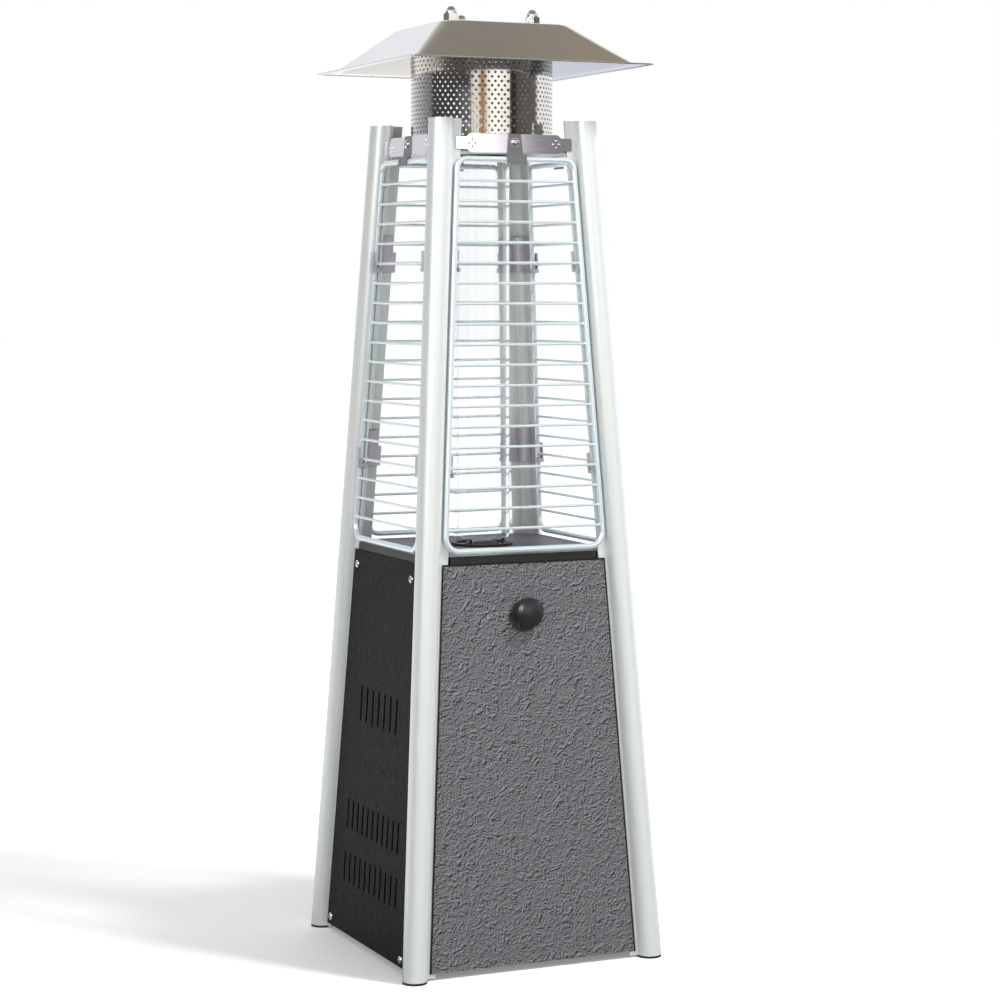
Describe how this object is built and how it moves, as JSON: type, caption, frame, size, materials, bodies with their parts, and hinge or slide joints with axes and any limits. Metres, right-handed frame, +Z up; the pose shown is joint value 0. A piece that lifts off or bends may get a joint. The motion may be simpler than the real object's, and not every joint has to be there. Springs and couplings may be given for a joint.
{
  "type": "patio heater",
  "caption": "Table-top pyramid patio heater: leaning legs, sheet-metal base with rear door and gas knob, glass flame tube behind wire guards, perforated screen under a square hood.",
  "frame": {"origin": "on the floor at the middle of the four feet", "axes": "+Z up along the heater's axis, -Y out of the front panel with the knob, +X to the right seen from the front"},
  "size_m": [0.297, 0.297, 1.006],
  "materials": {
    "legs": "satin pearl silver",
    "feet": "matte black",
    "hammered_panel": "hammered grey enamel",
    "dark_panels": "fine textured dark enamel",
    "tray": "satin dark grey enamel",
    "guard_wire": "bright zinc plate",
    "knob": "semi-gloss black",
    "black_plastic": "matte black",
    "seal": "black high-temperature silicone",
    "glass": "clear heat-resistant tube",
    "brass": "machined",
    "ceramic": "unglazed off-white",
    "probe": "plain",
    "plated_fixings": "bright plated",
    "screen": "polished",
    "hood": "brushed",
    "steel_fittings": "plain"
  },
  "bodies": {
    "frame": {"base_floor": "dark_panels", "burner": "steel_fittings", "burner_tray": "tray", "cap_nut_1": "plated_fixings", "cap_nut_2": "plated_fixings", "cap_nut_3": "plated_fixings", "crown_plate": "steel_fittings", "door_magnet": "black_plastic", "flame_screen": "screen", "foot_plug_front_left": "feet", "foot_plug_front_right": "feet", "foot_plug_rear_left": "feet", "foot_plug_rear_right": "feet", "front_panel": "hammered_panel", "gas_pipe": "brass", "gas_valve": "brass", "glass_collar": "seal", "glass_seat": "tray", "glass_tube": "glass", "guard_bracket_lower_front_left": "steel_fittings", "guard_bracket_lower_front_right": "steel_fittings", "guard_bracket_lower_rear_left": "steel_fittings", "guard_bracket_lower_rear_right": "steel_fittings", "guard_bracket_upper_front_left": "steel_fittings", "guard_bracket_upper_front_right": "steel_fittings", "guard_bracket_upper_rear_left": "steel_fittings", "guard_bracket_upper_rear_right": "steel_fittings", "guard_clip_front": "steel_fittings", "guard_clip_left": "steel_fittings", "guard_clip_rear": "steel_fittings", "guard_clip_right": "steel_fittings", "hinge_bracket_lower": "plated_fixings", "hinge_bracket_upper": "plated_fixings", "hood_post_1": "plated_fixings", "hood_post_2": "plated_fixings", "hood_post_3": "plated_fixings", "igniter_electrode": "ceramic", "leg_front_left": "legs", "leg_front_right": "legs", "leg_rear_left": "legs", "leg_rear_right": "legs", "reflector_hood": "hood", "regulator": "brass", "screen_cap": "screen", "side_panel_left": "dark_panels", "side_panel_right": "dark_panels", "thermocouple": "probe", "tip_over_switch": "black_plastic", "top_band_front": "steel_fittings", "top_band_left": "steel_fittings", "top_band_rear": "steel_fittings", "top_band_right": "steel_fittings", "valve_bracket": "dark_panels", "wire_guard_front": "guard_wire", "wire_guard_left": "guard_wire", "wire_guard_rear": "guard_wire", "wire_guard_right": "guard_wire"},
    "rear_door": {"rear_door": "dark_panels"},
    "spindle": {"valve_stem": "brass"},
    "knob": {"control_knob": "knob"}
  },
  "joints": [
    {"name": "rear_door_swing", "type": "hinge", "parent": "frame", "child": "rear_door", "pos_m": [-0.118, 0.139, 0.00021], "axis": [0.0606, -0.0606, 0.9963], "range_deg": [0, 100]},
    {"name": "knob_turn", "type": "hinge", "parent": "frame", "child": "spindle", "pos_m": [0, -0.11275, 0.374], "axis": [0, -0.9982, 0.0607], "range_deg": [0, 180]},
    {"name": "knob_push", "type": "slide", "parent": "spindle", "child": "knob", "axis": [0, 0.9982, -0.0607], "range_m": [0, 0.004], "stiffness_N_per_m": 400, "springref_m": -0.003}
  ]
}
